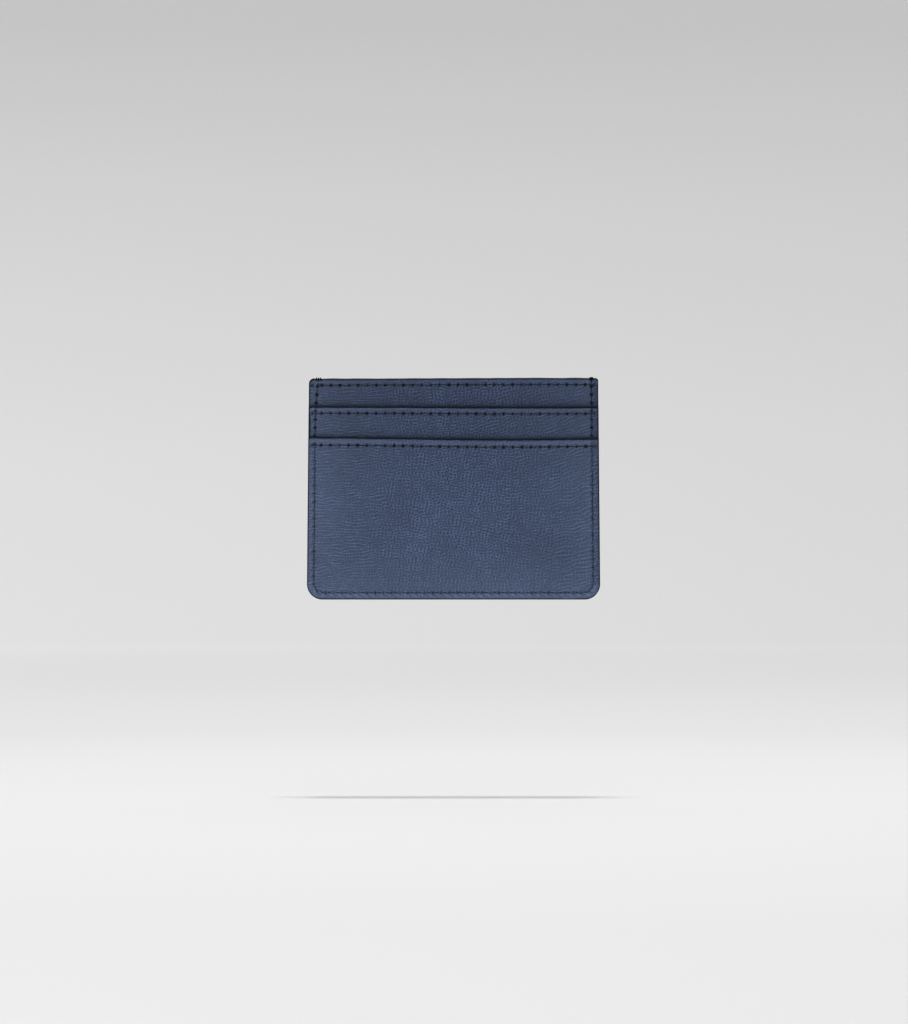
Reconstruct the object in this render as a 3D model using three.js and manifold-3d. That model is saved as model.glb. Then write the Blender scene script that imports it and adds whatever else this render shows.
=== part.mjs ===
// A flat leather card holder. It stands on its bottom edge, with its front facing -Y and +Z up.
// The origin is the middle of the bottom edge. Lengths are in millimetres.
//
// Both faces carry two card pockets, one stepped behind the other, and the two body panels
// hold a pocket between them. Every panel is leather with a thin lining, its mouth is painted
// and stitched, and one seam closes the sides and the bottom through all the layers.

import * as THREE from "three";
import { mergeVertices } from "three/addons/utils/BufferGeometryUtils.js";
import Module from "manifold-3d";

const wasm = await Module();
wasm.setup();

// ---- Driving dimensions ----

const HEIGHT = 75.5;
const WIDTH_TOP = 98.7;
const WIDTH_BOTTOM = 100.0;
const BOTTOM_CORNER_RADIUS = 5.3;
const TOP_CORNER_RADIUS = 1.3;

const LINING = 0.15;
const EDGE_PAINT = 0.4;
const CARD_GAP = 0.8; // one bank card is 0.76 thick
const CARD_HEIGHT = 54.0;
const CARD_SHOWING = 1.5; // how far a card stands out of the middle pocket's mouth

const SEAM_INSET = 2.35; // from the outer edge to the closing seam
const SEAM_MARGIN = 2.8; // glued width inside the painted edge
const SEAM_STITCH = 2.8;
const ROW_STITCH = 3.07;
const ROW_END_CLEARANCE = 0.9; // from the closing seam to the end of a mouth's row

const THREAD = 0.3;
const THREAD_CLEARANCE = 0.03; // under the thread in its channel
const STITCH_SLANT = 0.08; // sideways lean of one stitch, each way
const CHANNEL_WIDTH = 0.9;
const CHANNEL_DEPTH = 0.35;
const WRAP_END = 1.0; // how far the closing seam runs down the back body panel
const SEAM_BREAK = 0.6; // between the front seam's end and the back seam's start

const BASE_SEAM_HEIGHT = 1.0;
const BASE_SEAM_END = 1.2; // from the glued margin to each end of the base seam

const OVERCUT = 1.0; // how far a cutter runs past what it cuts
const ARC_STEPS = 8; // straight pieces in one arc
const THREAD_SIDES = 6;
const MERGE_DISTANCE = 1e-4; // corners closer than this are one corner

// three.js puts twice this many straight pieces in each arc of a shape
const ARC_SEGMENTS = ARC_STEPS / 2;
const THREAD_SEGMENTS = THREAD_SIDES / 2;

// The layers of one face, from the middle outwards. A row is the distance from a panel's
// mouth down to its stitches.
const LEVELS = [
  { name: "body", mouth: HEIGHT, leather: 0.5, row: 2.3, topRadius: TOP_CORNER_RADIUS },
  { name: "middle_pocket", mouth: HEIGHT - 9.7, leather: 0.5, row: 2.4, topRadius: 0 },
  { name: "lower_pocket", mouth: HEIGHT - 20.4, leather: 0.55, row: 2.8, topRadius: 0 },
];

let depth = CARD_GAP / 2;
for (const level of LEVELS) {
  level.inner = depth;
  level.leatherStart = level.inner + LINING;
  level.outer = level.leatherStart + level.leather;
  depth = level.outer + CARD_GAP;
}

const FACES = [
  { name: "front", sign: -1 },
  { name: "back", sign: 1 },
];

// ---- Materials ----

const finish = (color, roughness) =>
  new THREE.MeshStandardMaterial({ color, roughness, metalness: 0 });

const leather = finish("#43506a", 0.55);
const paint = finish("#262d3b", 0.4);
const thread = finish("#1c202e", 0.7);
const fabric = finish("#2b3348", 0.85);

// ---- Geometry helpers ----

const group = new THREE.Group();

function add(name, geometry, material) {
  const mesh = new THREE.Mesh(geometry, material.clone());
  mesh.name = name;
  group.add(mesh);
}

// Half the holder's width at a height: the sides lean out slightly towards the bottom.
function halfWidth(z) {
  return (WIDTH_BOTTOM + ((WIDTH_TOP - WIDTH_BOTTOM) * z) / HEIGHT) / 2;
}

// The holder's outline moved inwards by an inset, from one height to another, in x and z.
function outline({ inset, bottom = inset, top, bottomRadius, topRadius = 0 }) {
  const low = halfWidth(bottom + bottomRadius) - inset;
  const high = halfWidth(top - topRadius) - inset;
  const shape = new THREE.Shape();
  shape.moveTo(-low + bottomRadius, bottom);
  shape.lineTo(low - bottomRadius, bottom);
  if (bottomRadius > 0) {
    shape.absarc(low - bottomRadius, bottom + bottomRadius, bottomRadius, -Math.PI / 2, 0, false);
  }
  shape.lineTo(high, top - topRadius);
  if (topRadius > 0) {
    shape.absarc(high - topRadius, top - topRadius, topRadius, 0, Math.PI / 2, false);
  }
  shape.lineTo(-high + topRadius, top);
  if (topRadius > 0) {
    shape.absarc(-high + topRadius, top - topRadius, topRadius, Math.PI / 2, Math.PI, false);
  }
  shape.lineTo(-low, bottom + bottomRadius);
  if (bottomRadius > 0) {
    shape.absarc(-low + bottomRadius, bottom + bottomRadius, bottomRadius, Math.PI, 1.5 * Math.PI);
  }
  return shape;
}

// A flat plate of a shape drawn in x and z, between two values of y.
function plate(shape, yFrom, yTo) {
  const low = Math.min(yFrom, yTo);
  const high = Math.max(yFrom, yTo);
  const settings = { depth: high - low, bevelEnabled: false, curveSegments: ARC_SEGMENTS };
  return new THREE.ExtrudeGeometry(shape, settings).rotateX(Math.PI / 2).translate(0, high, 0);
}

// A block across the middle of the holder, between two values of y and two of z.
function block(width, yFrom, yTo, zFrom, zTo) {
  const box = new THREE.BoxGeometry(width, Math.abs(yTo - yFrom), zTo - zFrom);
  return box.translate(0, (yFrom + yTo) / 2, (zFrom + zTo) / 2);
}

function toSolid(geometry) {
  const bare = geometry.clone();
  bare.deleteAttribute("normal");
  bare.deleteAttribute("uv");
  const merged = mergeVertices(bare, MERGE_DISTANCE);
  const vertProperties = new Float32Array(merged.attributes.position.array);
  const triVerts = new Uint32Array(merged.index.array);
  return new wasm.Manifold(new wasm.Mesh({ numProp: 3, vertProperties, triVerts }));
}

function toGeometry(solid) {
  const { vertProperties, triVerts } = solid.getMesh();
  const geometry = new THREE.BufferGeometry();
  geometry.setAttribute("position", new THREE.BufferAttribute(vertProperties, 3));
  geometry.setIndex(new THREE.BufferAttribute(triVerts, 1));
  return geometry;
}

// A band that follows the outline between two insets: a U, or two strips if its foot is open.
function band({ outerInset, innerInset, top, foot = null, topRadius = 0, yFrom, yTo }) {
  const closed = foot === null;
  const radius = (inset) => (closed ? BOTTOM_CORNER_RADIUS - inset : 0);
  const outerShape = outline({
    inset: outerInset,
    bottom: closed ? outerInset : foot,
    top,
    bottomRadius: radius(outerInset),
    topRadius: Math.max(topRadius - outerInset, 0),
  });
  const innerShape = outline({
    inset: innerInset,
    bottom: closed ? innerInset : foot - OVERCUT,
    top: top + OVERCUT,
    bottomRadius: radius(innerInset),
  });
  const past = Math.sign(yTo - yFrom) * OVERCUT;
  const outer = toSolid(plate(outerShape, yFrom, yTo));
  return outer.subtract(toSolid(plate(innerShape, yFrom - past, yTo + past)));
}

// ---- Thread channels ----

// The channel that the closing seam sinks into, on the face of one level.
function seamChannel(face, level, levelInFront) {
  const start = face.sign * (level.outer - CHANNEL_DEPTH);
  const end = face.sign * (level.outer + OVERCUT);
  return band({
    outerInset: SEAM_INSET - CHANNEL_WIDTH / 2,
    innerInset: SEAM_INSET + CHANNEL_WIDTH / 2,
    top: level.mouth + OVERCUT,
    foot: levelInFront ? levelInFront.mouth - OVERCUT : null,
    yFrom: start,
    yTo: end,
  });
}

function rowHalfLength(level) {
  return halfWidth(level.mouth - level.row) - SEAM_INSET - ROW_END_CLEARANCE;
}

// The straight channel that a mouth's row of stitches sinks into.
function rowChannel(face, level) {
  const middle = level.mouth - level.row;
  const start = face.sign * (level.outer - CHANNEL_DEPTH);
  const end = face.sign * (level.outer + OVERCUT);
  const length = 2 * rowHalfLength(level) + CHANNEL_WIDTH;
  return toSolid(block(length, start, end, middle - CHANNEL_WIDTH / 2, middle + CHANNEL_WIDTH / 2));
}

// ---- Panels ----

function panelOutline(level) {
  return outline({
    inset: EDGE_PAINT,
    top: level.mouth - EDGE_PAINT,
    bottomRadius: BOTTOM_CORNER_RADIUS - EDGE_PAINT,
    topRadius: Math.max(level.topRadius - EDGE_PAINT, 0),
  });
}

function leatherPanel(face, level, levelInFront) {
  const flat = plate(panelOutline(level), face.sign * level.leatherStart, face.sign * level.outer);
  const grooved = toSolid(flat)
    .subtract(seamChannel(face, level, levelInFront))
    .subtract(rowChannel(face, level));
  return toGeometry(grooved);
}

function liningPanel(face, level) {
  return plate(panelOutline(level), face.sign * level.inner, face.sign * level.leatherStart);
}

function mouthHalfLength(level) {
  return halfWidth(level.mouth - level.topRadius) - Math.max(level.topRadius, EDGE_PAINT);
}

// The painted bead along a mouth: half round in section, notched for the closing seam.
function mouthEdge(face, level, levelInFront) {
  const thickness = level.outer - level.inner;
  const length = 2 * mouthHalfLength(level);
  const section = new THREE.Shape();
  section.moveTo(-thickness / 2, -EDGE_PAINT);
  section.lineTo(thickness / 2, -EDGE_PAINT);
  section.lineTo(thickness / 2, -EDGE_PAINT / 2);
  section.absellipse(0, -EDGE_PAINT / 2, thickness / 2, EDGE_PAINT / 2, 0, Math.PI, false);
  const settings = { depth: length, bevelEnabled: false, curveSegments: ARC_SEGMENTS };
  const bead = new THREE.ExtrudeGeometry(section, settings)
    .translate(0, 0, -length / 2)
    .rotateX(Math.PI / 2)
    .rotateZ(Math.PI / 2)
    .translate(0, (face.sign * (level.inner + level.outer)) / 2, level.mouth);
  return toGeometry(toSolid(bead).subtract(seamChannel(face, level, levelInFront)));
}

// ---- Glued margins and painted edge ----

function seamMargin(level, yFrom, yTo) {
  const margin = band({
    outerInset: EDGE_PAINT,
    innerInset: EDGE_PAINT + SEAM_MARGIN,
    top: level.mouth - EDGE_PAINT,
    topRadius: level.topRadius,
    yFrom,
    yTo,
  });
  return toGeometry(margin);
}

// What the paint goes round at one level: the panel, and the mouth above it.
function insidePaint(level) {
  const y = level.outer + OVERCUT;
  if (level.topRadius === 0) {
    const straight = outline({
      inset: EDGE_PAINT,
      top: level.mouth + OVERCUT,
      bottomRadius: BOTTOM_CORNER_RADIUS - EDGE_PAINT,
    });
    return toSolid(plate(straight, -y, y));
  }
  const panelTop = level.mouth - EDGE_PAINT;
  const overlap = EDGE_PAINT;
  const mouth = block(2 * mouthHalfLength(level), -y, y, panelTop - overlap, level.mouth + OVERCUT);
  return toSolid(plate(panelOutline(level), -y, y)).add(toSolid(mouth));
}

// The paint over the sides and the bottom, stepped in depth as the layers end at their mouths.
// It turns over the rounded top corners to meet the paint along the top edges.
function closingEdge() {
  const strips = LEVELS.map((level) => {
    const outside = outline({
      inset: 0,
      top: level.mouth,
      bottomRadius: BOTTOM_CORNER_RADIUS,
      topRadius: level.topRadius,
    });
    return toSolid(plate(outside, -level.outer, level.outer)).subtract(insidePaint(level));
  });
  return toGeometry(strips.reduce((joined, strip) => joined.add(strip)));
}

// ---- Thread ----

// A path through given stations, with one ring of the swept section at each of them.
class StationPath extends THREE.Curve {
  constructor(stations) {
    super();
    this.stations = stations;
  }

  getPoint(t) {
    const place = t * (this.stations.length - 1);
    const index = Math.min(Math.floor(place), this.stations.length - 2);
    return this.stations[index].clone().lerp(this.stations[index + 1], place - index);
  }

  getPointAt(u) {
    return this.getPoint(u);
  }

  getTangentAt(u) {
    const last = this.stations.length - 1;
    const index = Math.round(u * last);
    const tangent = new THREE.Vector3();
    for (const start of [index - 1, index]) {
      if (start >= 0 && start < last) {
        const step = this.stations[start + 1].clone().sub(this.stations[start]);
        tangent.add(step.normalize());
      }
    }
    return tangent.normalize();
  }
}

function threadAlong(stations) {
  const section = new THREE.Shape();
  section.absarc(0, 0, THREAD / 2, 0, 2 * Math.PI, false);
  const settings = {
    steps: stations.length - 1,
    extrudePath: new StationPath(stations),
    curveSegments: THREAD_SEGMENTS,
  };
  return new THREE.ExtrudeGeometry(section, settings);
}

// Depth of a thread's middle in the channel of a level.
function threadDepth(level) {
  return level.outer - CHANNEL_DEPTH + THREAD_CLEARANCE + THREAD / 2;
}

// Stations along a line, one at each needle hole. Every other hole is a little to one side,
// so the stitches lean one way and then the other.
function stitches(from, to, side, pitch) {
  const line = to.clone().sub(from);
  const count = Math.max(Math.round(line.length() / pitch), 1);
  const stations = [];
  for (let hole = 0; hole <= count; hole += 1) {
    const lean = hole % 2 === 0 ? -STITCH_SLANT : STITCH_SLANT;
    stations.push(from.clone().addScaledVector(line, hole / count).addScaledVector(side, lean));
  }
  return stations;
}

function rowThread(face, level) {
  const half = rowHalfLength(level);
  const y = face.sign * threadDepth(level);
  const z = level.mouth - level.row;
  const from = new THREE.Vector3(-half, y, z);
  const to = new THREE.Vector3(half, y, z);
  return threadAlong(stitches(from, to, new THREE.Vector3(0, 0, 1), ROW_STITCH));
}

// One side of the closing seam, from the top of the holder to the bottom corner's arc.
// It climbs over each mouth that it passes.
function seamSide(face, side, top) {
  const inwards = new THREE.Vector3(-side, 0, 0);
  const at = (y, z) => new THREE.Vector3(side * (halfWidth(z) - SEAM_INSET), y, z);
  const stations = [];
  let from = top;
  LEVELS.forEach((level, index) => {
    const y = face.sign * threadDepth(level);
    const next = LEVELS[index + 1];
    const foot = next ? next.mouth + THREAD : BOTTOM_CORNER_RADIUS;
    stations.push(at(y, from));
    stations.push(...stitches(at(y, from - THREAD), at(y, foot + THREAD), inwards, SEAM_STITCH));
    if (next) {
      stations.push(at(y, foot));
    }
    from = foot;
  });
  return stations;
}

// The turn of the closing seam round one bottom corner, up to the bottom run's first hole.
function seamCorner(y, side) {
  const radius = BOTTOM_CORNER_RADIUS - SEAM_INSET;
  const centre = halfWidth(BOTTOM_CORNER_RADIUS) - BOTTOM_CORNER_RADIUS;
  const stations = [];
  const steps = ARC_STEPS / 2;
  for (let step = 0; step < steps; step += 1) {
    const angle = (step / steps) * (Math.PI / 2);
    const x = side * (centre + radius * Math.cos(angle));
    stations.push(new THREE.Vector3(x, y, BOTTOM_CORNER_RADIUS - radius * Math.sin(angle)));
  }
  return stations;
}

// The closing seam's thread on one face. The front thread also wraps over the top edge.
function seamThread(face) {
  const wraps = face.sign < 0;
  const body = LEVELS[0];
  const outermost = LEVELS[LEVELS.length - 1];
  const over = HEIGHT + THREAD / 2;
  const top = wraps ? over : HEIGHT - WRAP_END - SEAM_BREAK;
  const y = face.sign * threadDepth(outermost);
  const straight = halfWidth(BOTTOM_CORNER_RADIUS) - BOTTOM_CORNER_RADIUS;
  const bottomRun = stitches(
    new THREE.Vector3(-straight, y, SEAM_INSET),
    new THREE.Vector3(straight, y, SEAM_INSET),
    new THREE.Vector3(0, 0, 1),
    SEAM_STITCH,
  );
  const half = (side) => [...seamSide(face, side, top), ...seamCorner(y, side)];
  const stations = [...half(-1), ...bottomRun, ...half(1).reverse()];
  if (wraps) {
    const wrapEnd = (side, z) => {
      const x = side * (halfWidth(z) - SEAM_INSET);
      return new THREE.Vector3(x, -face.sign * threadDepth(body), z);
    };
    stations.unshift(wrapEnd(-1, HEIGHT - WRAP_END), wrapEnd(-1, over));
    stations.push(wrapEnd(1, over), wrapEnd(1, HEIGHT - WRAP_END));
  }
  return threadAlong(stations);
}

// The hidden row that stops a card in the middle pocket, between that pocket and the body.
function baseSeam(face) {
  const [body, middle] = LEVELS;
  const base = middle.mouth + CARD_SHOWING - CARD_HEIGHT;
  const half = halfWidth(base) - EDGE_PAINT - SEAM_MARGIN - BASE_SEAM_END;
  const radius = BASE_SEAM_HEIGHT / 2;
  const shape = new THREE.Shape();
  shape.absarc(half - radius, base - radius, radius, -Math.PI / 2, Math.PI / 2, false);
  shape.absarc(-half + radius, base - radius, radius, Math.PI / 2, 1.5 * Math.PI, false);
  return plate(shape, face.sign * body.outer, face.sign * middle.inner);
}

// ---- Assembly ----

for (const face of FACES) {
  LEVELS.forEach((level, index) => {
    const name = `${face.name}_${level.name}`;
    const levelInFront = LEVELS[index + 1];
    add(name, leatherPanel(face, level, levelInFront), leather);
    add(`${name}_lining`, liningPanel(face, level), fabric);
    add(`${name}_mouth_edge`, mouthEdge(face, level, levelInFront), paint);
    add(`${name}_mouth_thread`, rowThread(face, level), thread);
    if (index > 0) {
      const behind = LEVELS[index - 1];
      const margin = seamMargin(level, face.sign * behind.outer, face.sign * level.inner);
      add(`${name}_seam_margin`, margin, leather);
    }
  });
  add(`${face.name}_middle_pocket_base_seam`, baseSeam(face), thread);
  add(`${face.name}_closing_seam_thread`, seamThread(face), thread);
}

add("centre_pocket_seam_margin", seamMargin(LEVELS[0], -LEVELS[0].inner, LEVELS[0].inner), leather);
add("closing_edge_paint", closingEdge(), paint);

export default group;
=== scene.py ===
"""A flat leather card holder: embossed panels, painted edges and stitched seams round the CAD frame.

Shapes are worked out in millimetres, with depth measured outwards from the plane between the
two faces, and are put into meshes in metres.
"""

import bmesh
import bpy
import numpy as np
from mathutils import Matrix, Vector


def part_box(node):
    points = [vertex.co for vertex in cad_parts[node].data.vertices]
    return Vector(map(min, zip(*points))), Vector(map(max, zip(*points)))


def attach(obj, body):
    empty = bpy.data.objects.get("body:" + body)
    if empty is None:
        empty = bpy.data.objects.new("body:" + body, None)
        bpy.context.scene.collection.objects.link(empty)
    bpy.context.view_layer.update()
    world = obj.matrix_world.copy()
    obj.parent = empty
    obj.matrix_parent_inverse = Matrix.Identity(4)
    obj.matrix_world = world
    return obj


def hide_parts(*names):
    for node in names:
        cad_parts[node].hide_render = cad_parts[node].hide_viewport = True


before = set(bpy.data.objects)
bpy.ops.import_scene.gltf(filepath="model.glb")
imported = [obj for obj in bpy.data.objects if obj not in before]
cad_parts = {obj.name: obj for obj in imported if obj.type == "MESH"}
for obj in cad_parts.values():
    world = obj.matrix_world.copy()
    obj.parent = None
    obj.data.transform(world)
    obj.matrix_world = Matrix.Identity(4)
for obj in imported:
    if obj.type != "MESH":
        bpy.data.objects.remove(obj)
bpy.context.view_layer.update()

MM = 0.001


# ---- Sizes taken from the frame ----

def box_mm(node):
    """A node's lowest and highest corner, in millimetres."""
    low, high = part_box(node)
    return np.array(low) / MM, np.array(high) / MM


EDGE_HIGH = box_mm("closing_edge_paint")[1]
HEIGHT = EDGE_HIGH[2]
SIDE_LEAN = 0.65  # how much nearer the middle each side is at the top than at the bottom
CORNER = 5.3  # radius of the bottom corners
TOP_CORNER = {-1: 1.9, 1: 0.8}  # radius of the top corners, left and right
HALF_BOTTOM = EDGE_HIGH[0] + SIDE_LEAN * CORNER / HEIGHT

EDGE_PAINT = 0.4
LINING = 0.15
MARGIN_GAP = 0.3  # what is left of a card's room where the margins are pressed together
SEAM_INSET = 2.35
SEAM_STITCH = 2.8
ROW_STITCH = 3.07

LEVEL_NAMES = ("body", "middle_pocket", "lower_pocket")
FACES = {"front": -1, "back": 1}

# Seeds of the random draws, to which a face, a level or a set of waves adds its own number.
SEAM_HOLE_SEED = 3
SEAM_THREAD_SEED = 7
ROW_THREAD_SEED = 31
ROW_HOLE_SEED = 50
BEAD_SEED = 60
BAR_SEED = 80
LEATHER_SEED = 100


def measure_levels():
    """The layers of one face from the middle outwards, as the frame has them.

    crown is the depth of a panel's face in the middle, border its depth at the pressed margin.
    """
    levels = []
    border = MARGIN_GAP / 2
    for name in LEVEL_NAMES:
        panel_low, panel_high = box_mm(f"back_{name}")
        row_low, row_high = box_mm(f"back_{name}_mouth_thread")
        thickness = panel_high[1] - panel_low[1]
        border += LINING + thickness
        levels.append({
            "name": name,
            "mouth": box_mm(f"back_{name}_mouth_edge")[1][2],
            "row": (row_low[2] + row_high[2]) / 2,
            "crown": panel_high[1],
            "border": border,
            "leather": thickness,
        })
        border += MARGIN_GAP
    return levels


LEVELS = measure_levels()


# ---- Outline ----

def half_width(z):
    """Half the holder's width at a height: the sides are straight and lean in."""
    return HALF_BOTTOM - SIDE_LEAN * z / HEIGHT


def side_at(z, inset, top_corner):
    """Half the width at a height of the outline moved in by an inset, with quarter rounds."""
    edge = half_width(z) - inset
    radius = CORNER - inset
    low = np.clip(CORNER - z, 0, radius)
    edge = edge - (radius - np.sqrt(radius**2 - low**2))
    if top_corner > inset:
        radius = top_corner - inset
        high = np.clip(z - (HEIGHT - top_corner), 0, radius)
        edge = edge - (radius - np.sqrt(radius**2 - high**2))
    return edge


def edge_distance(x, z):
    """How far a point lies inside the outline's sides and bottom; the open top doesn't count."""
    across = half_width(z) - np.abs(x)
    straight = np.minimum(across, z)
    corner_x = CORNER - across
    corner_z = CORNER - z
    rounded = CORNER - np.hypot(corner_x, corner_z)
    return np.where((corner_x > 0) & (corner_z > 0), rounded, straight)


def soft_distance(x, z):
    """Like edge_distance, but smooth in the corners, where the distances' inverse cubes are added."""
    across = np.maximum(half_width(z) - np.abs(x), 0.01)
    up = np.maximum(z, 0.01)
    return (across**-3.0 + up**-3.0) ** (-1 / 3)


def smooth(value, low, high):
    """Eases from 0 at low to 1 at high."""
    t = np.clip((value - low) / (high - low), 0, 1)
    return t * t * (3 - 2 * t)


def band(off, place, width):
    """A bell curve, 1 at a place beside a line and down to 1/e at a width from it."""
    return np.exp(-(((off - place) / width) ** 2))


# ---- The closing seam's line ----

SEAM_RADIUS = CORNER - SEAM_INSET
LEFT_TOP_INSET = 0.95  # the seam starts this much further in at the top left
LEFT_TURN = 14.5  # over this height, as a power of the height
LEFT_POWER = 1.4
SIDE_RUN = HEIGHT - CORNER
CORNER_RUN = SEAM_RADIUS * np.pi / 2
BOTTOM_HALF = half_width(CORNER) - CORNER
SEAM_LENGTH = 2 * (SIDE_RUN + CORNER_RUN + BOTTOM_HALF)
SEAM_COUNT = int(round(SEAM_LENGTH / SEAM_STITCH))
SEAM_PITCH = SEAM_LENGTH / SEAM_COUNT


def seam_inset(x, z):
    """The seam's distance from the edge: even, but further in at the top left."""
    stray = np.clip((z - HEIGHT + LEFT_TURN) / LEFT_TURN, 0, None) ** LEFT_POWER
    return SEAM_INSET + LEFT_TOP_INSET * stray * (x < 0)


def seam_run(x, z):
    """How far along the closing seam the nearest point of it lies, from the top left corner."""
    corner_x = np.abs(x) - BOTTOM_HALF
    angle = np.arctan2(np.maximum(CORNER - z, 0), np.maximum(corner_x, 1e-6))
    near_bottom = (z < CORNER) | (z < half_width(z) - np.abs(x))
    along_bottom = SIDE_RUN + CORNER_RUN + BOTTOM_HALF - np.abs(x)
    from_top = np.where(z >= CORNER, HEIGHT - z, SIDE_RUN + SEAM_RADIUS * angle)
    from_top = np.where(near_bottom & (corner_x <= 0), along_bottom, from_top)
    return np.where(x > 0, SEAM_LENGTH - from_top, from_top)


def seam_point(run):
    """The seam's x and z at a distance along it: down a side, round a corner, along the bottom."""
    right = run > SEAM_LENGTH / 2
    down = np.where(right, SEAM_LENGTH - run, run)
    on_side = down < SIDE_RUN
    on_corner = (~on_side) & (down < SIDE_RUN + CORNER_RUN)
    angle = np.clip((down - SIDE_RUN) / SEAM_RADIUS, 0, np.pi / 2)
    z_side = HEIGHT - down
    side = np.where(right, 1.0, -1.0)
    x_side = half_width(z_side) - seam_inset(side, z_side)
    x_corner = BOTTOM_HALF + SEAM_RADIUS * np.cos(angle)
    z_corner = CORNER - SEAM_RADIUS * np.sin(angle)
    x_bottom = BOTTOM_HALF - (down - SIDE_RUN - CORNER_RUN)
    x = np.where(on_side, x_side, np.where(on_corner, x_corner, x_bottom))
    z = np.where(on_side, z_side, np.where(on_corner, z_corner, SEAM_INSET))
    return side * x, z


# ---- Mouths ----

# How far each mouth sags, and where along it the sag is deepest.
SAG = {"body": (-0.25, 30.0), "middle_pocket": (0.25, 24.0), "lower_pocket": (0.8, 18.0)}
SAG_REACH = 42.0
ROW_INSET = 1.4  # from the edge to a row's first needle hole
SAG_SHARE = 0.55  # how much of its sag a mouth is raised by, so that it keeps its mean height


def mouth_height(level, x):
    """A mouth's height along x: straight, with one long shallow sag."""
    depth, middle = SAG[level["name"]]
    return level["mouth"] - depth * band(x, middle, SAG_REACH) + SAG_SHARE * depth


def row_height(level, x):
    """The height of a mouth's row of stitches along x, always the same distance below the mouth."""
    return mouth_height(level, x) - (level["mouth"] - level["row"])


def row_ends(level):
    """How far from the middle a row's first and last needle holes lie."""
    return half_width(level["row"]) - ROW_INSET


def row_count(level):
    """How many stitches a row has."""
    return int(round(2 * row_ends(level) / ROW_STITCH))


# ---- Embossed grain ----

ALONG = np.pi / 2  # the heading of waves whose crests run across the holder
NET_ACROSS = 1.0  # from one ridge of the net to the next, of those that run across
NET_UP = 1.12  # of those that run up
STREAK = 0.95
FINE_GRAIN = 0.7
NET_SHARPNESS = 1.6
NET_CONTRAST = 1.2
LEFT_STREAKS = (8, 42)  # the net turns to streaks between these distances from the middle
RIGHT_STREAKS = (12, 44)
SOFT_BELOW = 26  # below this height the net's ridges across grow weaker
RISE_FROM = 18  # the streaks rise outwards from about this far right
RISE_EASE = 12
RISE_SLOPE = 0.1  # how steeply at the bottom
RISE_MORE = 0.0045  # and how much more steeply for each millimetre up
WAVER = 0.15  # how far the ridges across stray from level, in waves of the next length
WAVER_LENGTH = 7.0
PIT_SHARE = 0.35  # how much wider the pits are than the ridges
FINE_SHARE = 0.45


def plane_waves(x, z, seed, wavelength, heading=0.0, spread=np.pi, vary=0.3, count=30):
    """Smooth irregular waves: a sum of plane waves whose headings and lengths scatter about one."""
    draw = np.random.default_rng(seed)
    total = np.zeros_like(x)
    for _ in range(count):
        turn = heading + spread * draw.uniform(-1, 1)
        number = 2 * np.pi / (wavelength * (1 + vary * draw.uniform(-1, 1)))
        phase = draw.uniform(0, 2 * np.pi)
        total += np.cos(number * (x * np.cos(turn) + z * np.sin(turn)) + phase)
    return total / np.sqrt(count / 2)


def grain_net(x, z, seed):
    """The embossed grain, from about -1 in its pits to 1 on its ridges.

    Ridges that run across and ridges that run up are each a sum of plane waves, and the higher of
    the two, smoothly chosen, makes a net round small pits. Towards the sides the ridges that run
    up fade, which leaves streaks; on the right the streaks rise outwards. Fine waves are added.
    """
    rise = RISE_EASE * np.log1p(np.exp((x - RISE_FROM) / RISE_EASE)) * (RISE_SLOPE + RISE_MORE * z)
    bent = z - rise + WAVER * plane_waves(x, z, seed + 1, WAVER_LENGTH, count=10)
    left = smooth(-x, *LEFT_STREAKS)
    right = smooth(x, *RIGHT_STREAKS)
    low = smooth(-z, -SOFT_BELOW, 20 - SOFT_BELOW)
    streaky = np.maximum(left, 0.8 * right)
    netted = plane_waves(x, bent, seed + 2, NET_ACROSS, ALONG, 0.45, 0.25, 40)
    streaks = plane_waves(x, bent, seed + 3, STREAK, ALONG, 0.2, 0.35, 40)
    across = (1 - 0.3 * low * (1 - streaky)) * (netted * (1 - streaky) + 1.25 * streaks * streaky)
    up = plane_waves(x, z, seed + 4, NET_UP, 0.0, 0.5, 0.25, 40)
    up = 0.8 * (1 - 0.8 * left) * (1 - 0.6 * right) * up
    higher = np.log((np.exp(NET_SHARPNESS * across) + np.exp(NET_SHARPNESS * up)) / 2)
    fine = plane_waves(x, z, seed + 5, FINE_GRAIN, count=50)
    return np.tanh(NET_CONTRAST * (higher / NET_SHARPNESS - PIT_SHARE) + FINE_SHARE * fine)


# ---- Needle holes, grooves and puffed borders ----

HOLE_DEPTH = 0.4
HOLE_WIDTH = 0.45
HOLE_STRENGTH = (0.45, 1.0)  # the faintest and the deepest, as shares of that depth
END_HOLE = 0.4  # a line's first and last, as a share of that depth
HOLE_CORE = 2.4  # how much wider than the dimple's point its dark core of painted shadow is
SEAM_HOLE = 0.45  # how deep a closing seam's hole is beside a mouth row's
SEAM_TIGHT = (52.0, 58.0)  # between these heights it grows to be as deep, where the layers are few
PLEAT_SLANT = 1.8  # how the seam's pleats run outwards: radians of the stitches' rhythm per mm
SEAM_GROOVE = 0.14
ROW_GROOVE = 0.12
BORDER_PUFF = 0.17
ROW_PUFF = 0.14
PUCKER = 0.08  # height of the small bump beside each closing stitch

# Bands beside a line of stitches, each as its place and its width. Beside the closing seam a
# place is counted inwards, and beside a mouth's row upwards.
GROOVE_BAND = (0.0, 0.4)
BORDER_BAND = (-1.15, 0.75)
INNER_BAND = (1.1, 0.7)
PUCKER_BAND = (-0.75, 0.4)
# Painted highlight on the border that puffs out beside the closing seam.
BORDER_HIGHLIGHT_BAND = (-1.2, 1.0)
ROW_GROOVE_BAND = (0.0, 0.35)
MOUTH_BAND = (1.05, 0.7)
UNDER_BAND = (-1.0, 0.7)
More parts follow.
